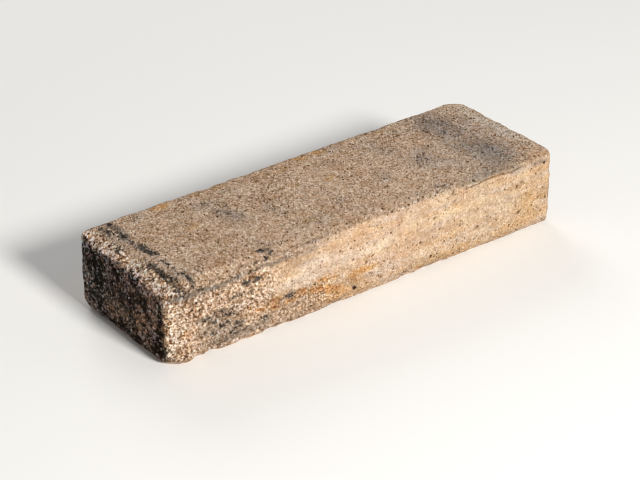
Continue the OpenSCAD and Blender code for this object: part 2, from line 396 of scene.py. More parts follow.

# ---------------------------------------------------------------- stains by place, with some marks of painted shade and painted highlight
# Each is (side, u, v, half length, half width, turn, strength). u runs along X on the
# long sides and along Y on the ends. v is Y on the beds and the height z elsewhere.
CHARCOAL = [
    # two broken stripes beside the worn end
    ("top", -131, 42, 5, 3.2, 92, 0.66),
    ("top", -131.5, 36, 8, 3.8, 95, 0.70),
    ("top", -132.5, 25, 8.0, 4.4, 92, 0.78),
    ("top", -132, 14, 7, 3.4, 94, 0.58),
    ("top", -131, 3, 8, 4.8, 96, 0.88),
    ("top", -129.5, -3, 6.5, 4.4, 100, 0.88),
    ("top", -130, -17, 9, 3.0, 95, 0.56),
    ("top", -129.5, -34, 9, 3.2, 98, 0.66),
    ("top", -129, -41, 7, 3.2, 98, 0.72),
    ("top", -138.2, 34, 10, 4.6, 90, 0.70),
    ("top", -142.5, 15, 7, 4.6, 84, 0.78),
    ("top", -143, -6, 5, 2.8, 90, 0.55),
    ("top", -138, -15, 9, 4.8, 92, 0.84),
    ("top", -137.8, -26, 13, 3.7, 90, 0.88),
    ("top", -137.5, -36, 8, 3.5, 88, 0.80),
    ("top", -139, -43, 5, 4.4, 90, 0.66),
    ("top", -145.5, 32, 10, 2.2, 90, 0.35),
    ("top", -145, -40, 8, 2.6, 90, 0.45),
    # blots
    ("top", -72, 29, 5, 2.0, -8, 0.55),
    ("top", -62, 18, 5, 1.6, 30, 0.40),
    ("top", -66, 10, 5, 3.0, 40, 0.30),
    ("top", -61, 4, 4, 3.0, 60, 0.40),
    ("top", -77, -40, 4.8, 2.8, -5, 1.0),
    ("top", -73.5, -44.5, 5, 2.2, 20, 0.95),
    ("top", -62, -39, 7, 1.6, 0, 0.45),
    ("top", -78, -46, 2.6, 2.2, 0, 0.85),
    ("top", -60, 28, 5, 1.6, 25, 0.45),
    ("top", -82, -13, 3, 2.4, 60, 0.50),
    ("top", -88, 18, 3, 2.0, 20, 0.60),
    ("top", -72, -31, 4, 2.6, 20, 0.28),
    ("top", -38, -11, 3.0, 2.0, 10, 0.55),
    ("top", -33, -10, 2.2, 1.8, 0, 0.50),
    ("top", -42, -8, 2.2, 1.8, 0, 0.40),
    ("top", -41, 5, 4, 2.0, 60, 0.28),
    ("top", -48, 24, 3, 1.8, 30, 0.45),
    ("top", -2, -19, 3.0, 2.0, 30, 0.40),
    ("top", 38, -13, 3.0, 1.6, 50, 0.25),
    ("top", 39, -46, 3.4, 2.0, 40, 0.28),
    ("top", -28, -33, 3, 2, 30, 0.40),
    ("top", 99, 23, 5, 3.4, 30, 0.38),
    ("top", 112, 5, 3.6, 2.6, 20, 0.50),
    ("top", 134, 19, 3.0, 2.2, 20, 0.30),
    ("top", 72, -22.5, 3.4, 2.2, 40, 0.25),
    ("top", 62, -43, 3.6, 2.4, 50, 0.20),
    ("top", 123, -45, 4.0, 2.4, 30, 0.22),
    ("top", 144, -41, 4.0, 2.2, 80, 0.40),
    ("top", 112, 34, 9, 4.0, 55, 0.16),
    ("top", 107, 10, 9, 4.0, 50, 0.20),
    ("top", 118, -18, 10, 5.0, 50, 0.20),
    ("top", 107, -24, 9, 5.0, 50, 0.14),
    ("top", 106, -42, 9, 4.0, 10, 0.18),
    ("top", 118, -38, 9, 4.4, 45, 0.18),
    ("top", 104, 40, 10, 4.0, 0, 0.18),
    ("top", 124, 36, 6, 3.0, 70, 0.25),
    ("top", 75, -4, 9, 6, 40, 0.34),
    ("top", 66, -12, 6, 4, 0, 0.22),
    ("top", -100, 46, 16, 1.4, 0, 0.40),
    # the face: blots, and a mottled group of short streaks
    ("face", -94, 40.2, 4.0, 2.6, -6, 1.0),
    ("face", -85.5, 40.2, 5.0, 2.3, 3, 1.0),
    ("face", -91, 33.5, 2.4, 1.8, 0, 0.65),
    ("face", -124, 26.0, 8, 2.0, -8, 0.85),
    ("face", -117, 21.5, 6, 1.8, -24, 0.72),
    ("face", -112, 28.5, 7, 1.8, -14, 0.66),
    ("face", -107, 23, 8, 2.0, -12, 0.78),
    ("face", -103, 26, 6, 1.7, -10, 0.68),
    ("face", -110, 17.5, 8, 1.6, -8, 0.68),
    ("face", -119, 15.0, 7, 1.8, -15, 0.70),
    ("face", -99, 15.5, 5.0, 2.2, 12, 0.66),
    ("face", -101, 12.5, 7, 1.8, 0, 0.50),
    ("face", -106, 9.5, 8, 1.8, 0, 0.42),
    ("face", -124, 9, 7, 2.2, 0, 0.40),
    ("face", -81, 11.8, 2.8, 2.3, 0, 0.85),
    ("face", -82, 20.6, 4, 1.2, 5, 0.50),
    ("face", -62.5, 20.3, 4, 2.4, 8, 0.85),
    ("face", -57.5, 21, 3, 1.6, 0, 0.50),
    ("face", -43, 21, 3.0, 1.3, 0, 0.45),
    ("face", -46, 8, 4, 2.0, 0, 0.45),
    ("face", -15, 19, 1.8, 3.4, -15, 0.50),
    ("face", -16.5, 13, 2.0, 2.8, 0, 0.45),
    ("face", -13, 8.2, 3.0, 2.0, 0, 0.55),
    ("face", -133, 36, 5, 1.6, -12, 0.35),
    ("face", -146, 49, 5, 2.4, 0, 0.45),
    ("face", -127, 34, 9, 1.6, -5, 0.35),
    ("face", -100, 34, 9, 2.2, 8, 0.50),
    ("face", -60, 46.5, 4, 1.4, 0, 0.35),
    ("face", -76, 52, 5, 1.6, -5, 0.40),
    ("face", -27, 51.5, 4, 1.6, 0, 0.50),
    ("face", 140, 47, 3.0, 1.6, -5, 0.75),
    ("face", 135, 47, 3.0, 1.6, 0, 0.45),
    ("face", 82, 51.5, 3.6, 2.0, 0, 0.55),
    ("face", 112, 50.5, 6, 1.8, 0, 0.22),
    ("face", 30, 4.5, 12, 1.8, 0, 0.45),
    ("face", 52, 8.5, 6, 1.8, 0, 0.45),
    ("face", 116, 4.5, 12, 1.6, 0, 0.35),
    # smear under the face's top arris
    ("face", -143, 48.5, 8, 2.4, -6, 0.10),
    ("face", -131, 47.0, 9, 2.4, -6, 0.08),
    ("face", -118, 46.4, 9, 2.2, -2, 0.08),
    ("face", -104, 46.8, 10, 2.0, 2, 0.10),
    ("face", -90, 47.4, 9, 2.0, 2, 0.14),
    ("face", -76, 48.2, 9, 2.0, 4, 0.10),
    ("face", -63, 48.5, 9, 1.6, 0, 0.12),
    # the shadowed end: charcoal stains; the widest lies as a sheet over the whole end and is partly painted shade
    ("left", 4, 23, 47, 34, 0, 0.56),
    ("left", 26, 24, 6, 26, 2, 0.94),
    ("left", 27, 40, 8, 7, 0, 0.85),
    ("left", 36, 37, 7, 12, 0, 0.72),
    ("left", 38, 15, 8, 12, 0, 0.56),
    ("left", 7, 41, 6, 4.8, 0, 1.0),
    ("left", -38.8, 36, 4.0, 9, 0, 0.92),
    ("left", -27, 28, 5, 6, 0, 0.62),
    ("left", -32, 25, 3, 4, 0, 0.40),
    ("left", 8, 36, 9, 4, 0, 0.45),
    ("left", -8, 44, 8, 3, 0, 0.40),
    ("left", -38.5, 19, 4.0, 16, 3, 0.95),
    ("left", -43, 10, 5.0, 8, 0, 0.95),
    ("left", -45.5, 26, 2.8, 13, 0, 0.40),
    ("left", -20, 34, 15, 8, 0, 0.74),
    ("left", -12, 12, 9, 5, 0, 0.62),
    ("left", -10, 36, 12, 4, 0, 0.55),
    ("left", 6, 43, 14, 4, 0, 0.60),
    ("left", 24, 37, 6, 7, 0, 0.95),
    ("left", -36, 9, 11, 6, 0, 0.95),
    ("left", -35, 40, 6, 4.5, -20, 0.62),
    ("left", -24, 41, 16, 4, -6, 0.40),
    ("left", -10, 6, 42, 5, 0, 0.78),
    ("left", -32, 12, 10, 8, 0, 0.72),
    # sides out of sight carry the same mix
    ("back", -118, 35, 9, 2.0, 8, 0.62),
    ("back", -107, 30, 12, 1.8, -4, 0.60),
    ("back", -95, 19, 9, 1.8, -14, 0.55),
    ("back", -36, 13, 10, 1.8, -8, 0.52),
    ("back", -22, 17, 6, 1.6, 12, 0.45),
    ("back", 40, 44, 16, 1.8, 3, 0.42),
    ("back", 104, 27, 8, 1.8, 18, 0.62),
    ("back", 116, 20, 9, 1.9, -12, 0.60),
    ("back", 86, 12, 6, 1.6, 6, 0.50),
    ("right", -26, 35, 9, 1.8, 24, 0.60),
    ("right", 24, 19, 9, 1.9, -28, 0.55),
    ("right", 31, 13, 6, 1.7, 12, 0.50),
    ("back", -126, 27, 6, 1.7, -16, 0.55),
    ("back", -113, 22, 7, 1.7, 6, 0.50),
    ("back", -101, 36, 6, 1.6, -10, 0.45),
    ("back", -88, 30, 5, 1.5, 10, 0.40),
    ("back", -48, 16, 4, 1.6, 4, 0.40),
    ("back", 54, 47, 7, 1.6, -6, 0.40),
    ("back", 112, 30, 5, 1.6, 10, 0.45),
    ("back", 124, 26, 5, 1.6, -18, 0.45),
    ("back", 98, 19, 6, 1.6, -4, 0.42),
    ("right", -14, 40, 6, 1.7, 12, 0.45),
    ("right", -36, 30, 4, 1.6, 30, 0.42),
    ("right", 12, 24, 5, 1.6, -20, 0.42),
    ("bottom", -118, -14, 24, 3.6, 92, 0.75),
    ("bottom", -110, 20, 16, 4.0, 86, 0.65),
    ("bottom", 24, 22, 16, 5, 12, 0.55),
    ("bottom", 92, -20, 18, 5, 84, 0.65),
    ("bottom", 60, 34, 11, 3.4, 0, 0.50),
]
VEIL = [
    ("top", 110, 26, 27, 18, 92, 0.85),
    ("top", 114, -26, 32, 19, 92, 0.80),
    ("top", 96, -44, 24, 8, 0, 0.60),
    ("top", 114, 0, 46, 28, 92, 0.50),
    ("top", 88, -24, 14, 16, 0, 0.35),
    ("top", 84, 34, 14, 8, 0, 0.25),
    ("top", 128, 20, 22, 12, 92, 0.42),
    ("top", 128, -26, 20, 11, 92, 0.42),
    ("top", 141, 0, 46, 9, 90, 0.46),
    ("top", 76, -8, 21, 16, 60, 0.62),
    ("top", 62, 20, 30, 11, 95, 0.38),
    ("top", 60, -42, 14, 8, 0, 0.45),
    ("top", 36, 40, 12, 8, 0, 0.30),
    ("top", -67, 4, 20, 12, 100, 0.52),
    ("top", -66, 22, 14, 10, 30, 0.34),
    ("top", -78, 26, 16, 8, 0, 0.35),
    ("top", -72, -33, 14, 9, 0, 0.30),
    ("top", -40, 2, 22, 9, 90, 0.28),
    ("top", -28, -30, 14, 9, 0, 0.35),
    ("top", -50, 34, 12, 8, 0, 0.25),
    ("top", -114, 38, 12, 7, 20, 0.30),
    ("top", -103, 14, 10, 4, 30, 0.25),
    ("top", -120, -36, 7, 8, 0, 0.20),
    ("top", -131, -20, 26, 6, 90, 0.36),
    ("top", -135, 20, 26, 8, 90, 0.36),
    ("top", 20, 24, 12, 7, 0, 0.30),
    ("top", -2, -19, 8, 6, 0, 0.25),
    ("top", 40, -10, 14, 7, 60, 0.35),
    ("top", 40, -44, 14, 5, 0, 0.35),
    # under the face's top arris and round the streaks
    ("face", -138, 46.6, 13, 3.0, -6, 0.72),
    ("face", -120, 46.0, 18, 2.6, -3, 0.78),
    ("face", -97, 46.6, 20, 2.8, 2, 0.80),
    ("face", -72, 48.2, 20, 2.6, 2, 0.70),
    ("face", -112, 19, 22, 12, -6, 0.50),
    ("face", -103, 10, 26, 6, 0, 0.50),
    ("face", -132, 35, 9, 5, -10, 0.20),
    ("face", -84, 9, 14, 4, 0, 0.45),
    ("face", -40, 22, 24, 3, -4, 0.30),
    ("face", -40, 50.5, 30, 2.6, -2, 0.45),
    ("face", 104, 51.2, 40, 2.8, 0, 0.60),
    ("face", 30, 52.5, 40, 2.0, 0, 0.35),
    ("face", 136, 48, 11, 3.4, 0, 0.45),
    # a grey veil over the whole shadowed end: partly painted shade
    ("left", 2, 26, 44, 50, 0, 0.50),
    ("back", -104, 27, 38, 16, -6, 0.50),
    ("back", -30, 14, 32, 9, -3, 0.50),
    ("back", 44, 46, 32, 6, 2, 0.60),
    ("back", 108, 22, 30, 14, -8, 0.45),
    ("right", -14, 34, 30, 11, 20, 0.42),
    ("right", 24, 17, 20, 13, -20, 0.42),
    ("bottom", -112, 0, 52, 15, 90, 0.60),
    ("bottom", 24, 20, 36, 15, 10, 0.45),
    ("bottom", 92, -10, 40, 16, 90, 0.60),
]
FILM = [
    ("face", -144, 46.9, 8, 4.0, -14, 0.82),
    ("face", -133, 46.6, 11, 2.8, -8, 0.72),
    ("face", -118, 46.2, 13, 2.2, -2, 0.60),
    ("face", -103, 46.4, 13, 2.2, 2, 0.50),
    ("face", -86, 47.4, 12, 2.2, 0, 0.48),
    ("face", -70, 46.6, 12, 2.2, 0, 0.45),
    ("face", -50, 47.0, 14, 3.6, 0, 0.40),
    ("face", -112, 20, 18, 8, -6, 0.30),
    ("face", -99, 14.5, 8, 3.4, 8, 0.40),
    ("face", -119, 19, 12, 5, 0, 0.40),
    ("face", -62, 15, 28, 10, 0, 0.26),
    ("face", -56, 43, 14, 7, 0, 0.22),
    ("face", -10, 12, 18, 6, 0, 0.18),
    ("face", -102, 34, 6, 3, 0, 0.30),
    ("face", -72, 21, 6, 3, 0, 0.34),
    ("face", -60, 17, 6, 2.4, 0, 0.34),
    ("face", -16, 14, 6, 5, 0, 0.26),
    ("face", 120, 49, 7, 5, 0, 0.34),
    ("face", -100, 6.5, 12, 3, 0, 0.30),
    ("face", -50, 7, 16, 3, 0, 0.30),
    ("face", -12, 8, 8, 4, 0, 0.22),
    ("face", 42, 8, 12, 4, 0, 0.20),
    ("face", -104, 8, 26, 4, 0, 0.50),
    ("face", -125, 26.5, 9, 2.4, -4, 0.50),
    ("face", -112, 27.5, 8, 2.2, -10, 0.45),
    ("face", -62.5, 20.5, 6, 3, 8, 0.50),
    ("face", -89, 39.6, 9, 2.2, 0, 0.30),
    ("face", -80, 11, 7, 3, 0, 0.40),
    ("face", -30, 5, 60, 2.0, 0, 0.40),
    ("face", 40, 4.8, 70, 2.0, 0, 0.26),
    ("face", 114, 4, 40, 2.0, 0, 0.16),
    ("face", 98, 51.0, 36, 1.6, 0, 0.42),
    ("face", 138, 47.5, 7, 2.2, -5, 0.32),
    ("top", -131, 36, 14, 3.6, 95, 0.60),
    ("top", -132, 22, 7, 3.8, 90, 0.65),
    ("top", -130.5, 3, 11, 4.0, 98, 0.75),
    ("top", -129.5, -38, 12, 2.8, 98, 0.60),
    ("top", -137.5, -26, 20, 3.6, 90, 0.34),
    ("top", -139.5, 33, 8, 3.0, 90, 0.30),
    ("top", 110, 24, 24, 13, 92, 0.20),
    ("top", 113, -24, 28, 15, 92, 0.22),
    ("top", 100, -46, 50, 3, 0, 0.40),
    ("top", -140, -46.2, 11, 2.2, 0, 0.36),
    ("top", -110, -47, 16, 1.6, 0, 0.25),
    ("top", -50, -46.5, 95, 3.0, 0, 0.30),
    ("top", -66, 8, 14, 7, 100, 0.22),
    ("top", -76, -41, 7, 3.6, 0, 0.50),
    # over the whole shadowed end: stain and painted shade both
    ("left", 2, 24, 44, 30, 0, 0.22),
    ("left", 27, 26, 8, 24, 0, 0.50),
    ("left", -40, 22, 4.0, 17, 3, 0.70),
    ("left", -12, 5, 44, 5, 0, 0.50),
    ("back", -110, 31, 20, 5, 4, 0.40),
    ("back", -30, 14, 20, 4, -6, 0.32),
    ("back", 46, 47, 30, 3, 2, 0.55),
    ("back", 108, 22, 16, 5, -10, 0.38),
    ("back", 0, 4.5, 130, 2, 0, 0.40),
    ("right", -18, 34, 16, 4, 22, 0.35),
    ("right", 26, 17, 11, 4, -24, 0.35),
    ("bottom", -112, 0, 44, 7, 90, 0.50),
    ("bottom", 92, -14, 30, 8, 90, 0.45),
]
RUST = [
    ("face", -55, 20.8, 5.5, 1.9, 2, 1.0),
    ("face", -73, 15.8, 8, 2.4, -8, 1.0),
    ("face", -84, 18, 6, 1.6, -6, 0.75),
    ("face", -91, 21.5, 4, 1.6, -8, 0.6),
    ("face", -73, 21, 7, 3.6, 5, 0.95),
    ("face", -61, 17, 8, 3.2, 0, 1.0),
    ("face", -42, 17, 14, 3.4, -6, 0.92),
    ("face", -34, 22.5, 12, 3.0, -4, 0.85),
    ("face", -26, 12.5, 11, 4.0, -6, 0.95),
    ("face", -14, 15.5, 7, 7, 10, 1.0),
    ("face", -6, 19, 8, 3.2, 4, 0.9),
    ("face", 3, 18.5, 7, 1.8, 4, 0.75),
    ("face", -7, 13, 6, 4, 0, 0.6),
    ("face", -112, 35.5, 8, 2.0, 8, 0.35),
    ("face", -131, 28, 5, 2.4, 20, 0.4),
    ("face", -137, 20, 4, 4, 0, 0.5),
    ("face", -20, 6, 44, 4, 0, 0.65),
    ("face", 60, 6, 52, 4.6, 0, 0.68),
    ("face", 118, 7, 36, 6, 2, 0.55),
    ("face", 128, 22, 13, 10, 0, 0.55),
    ("face", 128, 27, 12, 4, -6, 0.45),
    ("face", 80, 15.5, 9, 1.6, -4, 0.55),
    ("face", 102, 30, 12, 3.0, 0, 0.35),
    ("face", 28, 37, 4, 1.4, 0, 0.5),
    ("face", 42, 35, 3.4, 1.6, 0, 0.25),
    ("face", 30, 30, 5, 3.2, 0, 0.4),
    ("face", -6, 46, 16, 4, 0, 0.45),
    ("face", 8, 43, 8, 3, -10, 0.4),
    ("face", 58, 25, 8, 2, 0, 0.3),
    ("face", -84, 36.5, 3, 1.2, 0, 0.5),
    ("top", -52, 41, 9, 4, 0, 0.65),
    ("top", -95, 41, 10, 5, 0, 0.90),
    ("top", -91, 8, 8, 5, 0, 0.60),
    ("top", -106, -16, 10, 5, 10, 0.55),
    ("top", -31, -28, 7, 5, 0, 0.60),
    ("top", -84, 26, 8, 4, 20, 0.60),
    ("top", -88, 32, 9, 4, 30, 0.5),
    ("top", 12, 9, 8, 5, 20, 0.7),
    ("top", -5, 35, 26, 5, 4, 0.45),
    ("top", 11, 40, 8, 6, 0, 0.75),
    ("top", 28, 40, 8, 5, 0, 0.85),
    ("top", -10, 17, 22, 6, 25, 0.4),
    ("top", -104, 2, 18, 7, 15, 0.4),
    ("top", -8, -4, 8, 3, 40, 0.35),
    ("top", -28, -22, 7, 2, 5, 0.5),
    ("top", 76, 38, 12, 4, 0, 0.5),
    ("top", 84, 18, 10, 5, 20, 0.25),
    ("top", -145, 6, 8, 3, 90, 0.5),
    ("top", -116, -42, 14, 2.4, 0, 0.40),
    ("top", -122, -26, 16, 4, 90, 0.3),
    ("top", -10, -46, 120, 2.6, 0, 0.4),
    ("left", -16, 21, 8, 5, 10, 0.40),
    ("left", 13, 15, 9, 5, 0, 0.45),
    ("left", -2, 14, 20, 6, 0, 0.25),
    ("left", -28, 26, 8, 4, 30, 0.2),
    ("left", -46, 28, 3.5, 18, 0, 0.45),
    ("back", -60, 34, 18, 3, 2, 0.7),
    ("back", -76, 22, 10, 2.4, 5, 0.8),
    ("back", 66, 16, 20, 4, -3, 0.75),
    ("back", 20, 7, 60, 4, 0, 0.6),
    ("back", 10, 30, 16, 3, 4, 0.45),
    ("right", 10, 26, 14, 5, 8, 0.5),
    ("right", -16, 10, 20, 5, 0, 0.6),
    ("bottom", -40, 18, 36, 6, 6, 0.5),
    ("bottom", 60, -30, 34, 5, -5, 0.5),
    ("bottom", -60, -26, 20, 6, 10, 0.4),
]
CREAM = [
    ("face", 6, 32, 20, 5, 4, 0.70),
    ("face", -22, 30, 22, 6, 0, 0.45),
    ("face", -46, 36, 18, 6, 4, 0.55),
    ("face", -52, 30, 14, 4, 0, 0.45),
    ("face", -90, 28.5, 3, 3.6, 0, 0.9),
    ("face", -104, 42, 14, 3.4, -4, 0.4),
    ("face", 62, 34, 16, 7, 0, 0.6),
    ("face", 98, 42, 12, 4, 0, 0.35),
    ("face", 88, 36, 8, 4, 0, 0.55),
    ("face", 108, 28, 6, 3.4, 0, 0.40),
    ("face", 78, 26, 20, 5, 0, 0.4),
    ("face", 34, 14, 26, 5, 0, 0.4),
    ("face", 50.5, 51, 1.8, 1.2, 0, 1.0),
    ("face", -146, 26, 6, 22, 0, 0.85),
    ("face", -144, 15, 6, 4, 0, 0.8),
    ("face", -128, 18, 10, 3, 0, 0.4),
    ("face", -124, 41.2, 22, 2.2, -2, 0.45),
    ("face", -62, 30, 12, 4, 0, 0.5),
    ("top", 20, 34, 2.6, 2.2, 0, 0.85),
    ("top", 90, 34, 3, 1.8, 0, 0.8),
    ("top", 146, 36, 6, 3, 60, 0.6),
    ("top", -114, -42.5, 18, 2.6, 0, 0.55),
    ("top", 141, 0, 44, 8, 90, 1.0),
    # painted highlight: a pale band along the top's arris above the -X end, on pale worn concrete
    ("top", -146, 0, 50, 6, 90, 0.75),
    ("face", -142, 32, 8, 14, 0, 0.5),
    # painted highlight along the same arris
    ("top", -147, -24, 12, 2.4, 90, 0.4),
    ("top", 30, -30, 40, 14, 0, 0.25),
    ("top", 50, 4, 20, 10, 0, 0.25),
    ("back", 0, 24, 44, 6, 3, 0.7),
    ("back", -128, 14, 12, 5, 0, 0.5),
    ("back", 84, 34, 18, 5, 0, 0.6),
    ("right", 0, 44, 26, 4, 0, 0.6),
    ("right", -30, 20, 9, 5, 0, 0.5),
    ("bottom", -10, 0, 70, 10, 2, 0.4),
]

OCHRE = [
    ("left", -17, 19, 13, 9, -14, 0.85),
    ("left", -31, 10, 13, 7, -8, 0.90),
    ("left", -41, 20, 4, 15, 0, 0.70),
    ("left", 13.5, 14.5, 6, 6, 0, 0.45),
    ("left", 3, 17, 8, 5, 0, 0.30),
    ("left", -29, 40, 6, 4, 0, 0.15),
]
MOSS = [
    ("left", 34, 20, 14, 24, 0, 1.0),
    ("left", 25, 36, 9, 14, 0, 0.90),
    ("left", 42, 34, 4, 16, 0, 0.80),
    ("left", 14.5, 30, 5, 6, 0, 0.60),
    ("left", -8, 8, 10, 4, 0, 0.35),
]


def painted(marks, seed, ragged_by, inner, outer, drift_mm=2.0, pile=0.3):
    total = np.zeros(len(base))
    moved = base + drift_mm * np.stack([layered(base, 9, seed + s, 3) for s in (0, 40, 80)], 1)
    edge = layered(base, 3.4, seed + 7, 3, 0.7)
    for side, u0, v0, a, b, turn, strength in marks:
        u, v, here = ON[side](moved)
        c, s = math.cos(math.radians(turn)), math.sin(math.radians(turn))
        du, dv = (u - u0) * c + (v - v0) * s, -(u - u0) * s + (v - v0) * c
        r = np.sqrt((du / a) ** 2 + (dv / b) ** 2)
        mark = (1 - step(r + ragged_by * edge, inner, outer)) * strength * here
        total = np.maximum(total, mark) + pile * np.minimum(total, mark)
    return np.clip(total, 0, 1)


charcoal = painted(CHARCOAL, 101, 0.40, 0.10, 1.45, 1.3, 0.15)
low_slope = step(-x, 141, 149) * step(z, 2, 6) * step(-np.abs(y - 3), -47, -43) * step(layered(base, 7, 431), -0.5, 0.5)
charcoal = np.maximum(charcoal, 0.55 * low_slope)
veil = painted(VEIL, 151, 0.35, 0.0, 1.25, 2.5, 0.5)
film = painted(FILM, 173, 0.35, 0.25, 1.25, 1.6, 0.2)
rust = painted(RUST, 211, 0.4, 0.2, 1.35, 1.6)
cream = painted(CREAM, 307, 0.35, 0.1, 1.35, 2.0)
cream = np.maximum(cream, 0.25 * fin)
toned = painted(OCHRE, 353, 0.45, 0.2, 1.4, 2.4) - painted(MOSS, 379, 0.45, 0.2, 1.4, 2.4)
# Broad tints: a yellower half of the face; and a mask for the -X end and the ledge above it, which are darkened and
# reddened: soot stain and painted shade both
olive = np.clip(on_face * (0.35 + 0.65 * step(x, 10, 90)) + (on_right + 0.6 * on_back) * step(patchy, 0.35, 0.7), 0, 1)
dark_end_stain_and_shade = step(-np.abs(y - 3), -46.5, -43.5) * step(-z - 0.16 * np.maximum(-y - 20, 0), -23.5, -20.5)
dark_end_stain_and_shade = dark_end_stain_and_shade * (1 - 0.34 * step(-np.hypot((y - 2) / 24, (z + 10) / 8), -1.2, -0.3))
dark_end_stain_and_shade = np.maximum(dark_end_stain_and_shade, 0.60 * step(-np.abs(y - 3), -46.5, -43.5) * step(-z, -27, -24.5))
# The ledge: the worn strip just above the -X end, darkened with the end as painted shade, its bright grains lifted
# later as painted highlight
ledge = (1 - on_left) * step(-x, 142.5, 148.5) * step(-np.abs(y - 3), -47, -44) * step(z, 10, 18)
dark_end_stain_and_shade = on_left * dark_end_stain_and_shade + 0.62 * ledge
dark_end_stain_and_shade = np.clip(dark_end_stain_and_shade * (0.85 + 0.3 * layered(base, 9, 401)), 0, 1)

# ---------------------------------------------------------------- the mesh
metres = (points + MID) / 1000
mesh = bpy.data.meshes.new("wall_block_concrete")
mesh.vertices.add(len(metres))
mesh.vertices.foreach_set("co", metres.astype(np.float32).ravel())
mesh.loops.add(quads.size)
mesh.loops.foreach_set("vertex_index", quads.astype(np.int32).ravel())
mesh.polygons.add(len(quads))
mesh.polygons.foreach_set("loop_start", np.arange(0, quads.size, 4, dtype=np.int32))
mesh.update(calc_edges=True)
mesh.validate()
mesh.polygons.foreach_set("use_smooth", np.ones(len(mesh.polygons), bool))
for name, values in (
    ("charcoal", charcoal),
    ("veil", veil),
    ("film", film),
    ("pitted", pitted),
    ("rust", rust),
    ("cream", cream),
    ("toned", toned),
    ("ledge", ledge),
    ("coarse", coarse),
    ("cavity", cavity),
    ("olive", olive),
    ("dark_end_stain_and_shade", dark_end_stain_and_shade),
):
    layer = mesh.attributes.new(name, "FLOAT", "POINT")
    layer.data.foreach_set("value", values.astype(np.float32))

# One map of the six sides, laid out in rows over a width of one block length
n = np.array(COUNTS, float)
room, gap = 2 * HALF, 3.0
rows = {  # side: (left, bottom, across, up)
    5: (0, 0, 0, 1),  # top
    4: (0, room[1] + gap, 0, 1),  # bottom
    2: (0, 2 * (room[1] + gap), 0, 2),  # face
    3: (0, 2 * (room[1] + gap) + room[2] + gap, 0, 2),  # back
    0: (0, 2 * (room[1] + gap) + 2 * (room[2] + gap), 1, 2),  # left end
    1: (room[1] + gap, 2 * (room[1] + gap) + 2 * (room[2] + gap), 1, 2),  # right end
}
high = rows[0][1] + room[2]
flat = np.zeros((len(quads), 4, 2))
for side, (left, low, across, up) in rows.items():
    m = sides == side
    flat[m, :, 0] = left + grid_corners[m][:, :, across] / n[across] * room[across]
    flat[m, :, 1] = low + grid_corners[m][:, :, up] / n[up] * room[up]
flat = 0.004 + flat / max(room[0], high) * 0.992
uv = mesh.uv_layers.new(name="OFBake")
uv.data.foreach_set("uv", flat.astype(np.float32).ravel())

block_obj = bpy.data.objects.new("wall_block_concrete", mesh)
bpy.context.scene.collection.objects.link(block_obj)


# ---------------------------------------------------------------- the concrete
class Nodes:
    """Short calls for building a node tree."""

    def __init__(self, tree):
        self.tree = tree

    def add(self, kind, inputs=None, **settings):
        node = self.tree.nodes.new(kind)
        for key, value in settings.items():
            setattr(node, key, value)
        for key, value in (inputs or {}).items():
            self.put(node.inputs[key], value)
        return node

    def put(self, socket, value):
        if isinstance(value, bpy.types.NodeSocket):
            self.tree.links.new(value, socket)
        else:
            socket.default_value = value

    def maths(self, kind, a, b=0.0, c=0.0, clamp=False):
        node = self.tree.nodes.new("ShaderNodeMath")
        node.operation, node.use_clamp = kind, clamp
        for socket, value in zip(node.inputs, (a, b, c)):
            self.put(socket, value)
        return node.outputs[0]

    def span(self, value, low, high, to_low=0.0, to_high=1.0, smooth=True):
        node = self.tree.nodes.new("ShaderNodeMapRange")
        node.interpolation_type = "SMOOTHSTEP" if smooth else "LINEAR"
        for key, x in zip(("Value", "From Min", "From Max", "To Min", "To Max"), (value, low, high, to_low, to_high)):
            self.put(node.inputs[key], x)
        return node.outputs[0]

    def blend(self, factor, a, b, kind="MIX"):
        node = self.tree.nodes.new("ShaderNodeMix")
        node.data_type, node.blend_type, node.clamp_factor = "RGBA", kind, True
        self.put(node.inputs["Factor"], factor)
        self.put(node.inputs[6], a)
        self.put(node.inputs[7], b)
        return node.outputs[2]

    def scaled(self, vector, by):
        node = self.tree.nodes.new("ShaderNodeVectorMath")
        node.operation = "MULTIPLY"
        self.put(node.inputs[0], vector)
        self.put(node.inputs[1], by)
        return node.outputs[0]

    def noise(self, vector, size, detail=2.0, rough=0.5, distortion=0.0):
        node = self.add(
            "ShaderNodeTexNoise",
            {"Vector": vector, "Scale": 1.0 / size, "Detail": detail, "Roughness": rough, "Distortion": distortion},
        )
        return node.outputs[0]

    def cells(self, vector, size, rand=1.0, feature="F1"):
        return self.add(
            "ShaderNodeTexVoronoi",
            {"Vector": vector, "Scale": 1.0 / size, "Randomness": rand},
            feature=feature,
        )

    def ramp(self, factor, stops, kind="LINEAR"):
        node = self.tree.nodes.new("ShaderNodeValToRGB")
        node.color_ramp.interpolation = kind
        while len(node.color_ramp.elements) < len(stops):
            node.color_ramp.elements.new(0.5)
        for element, (at, colour) in zip(node.color_ramp.elements, stops):
            element.position = at
            element.color = (*colour, 1.0) if len(colour) == 3 else colour
        self.put(node.inputs[0], factor)
        return node.outputs[0]


def grey(v):
    return (v, v, v)


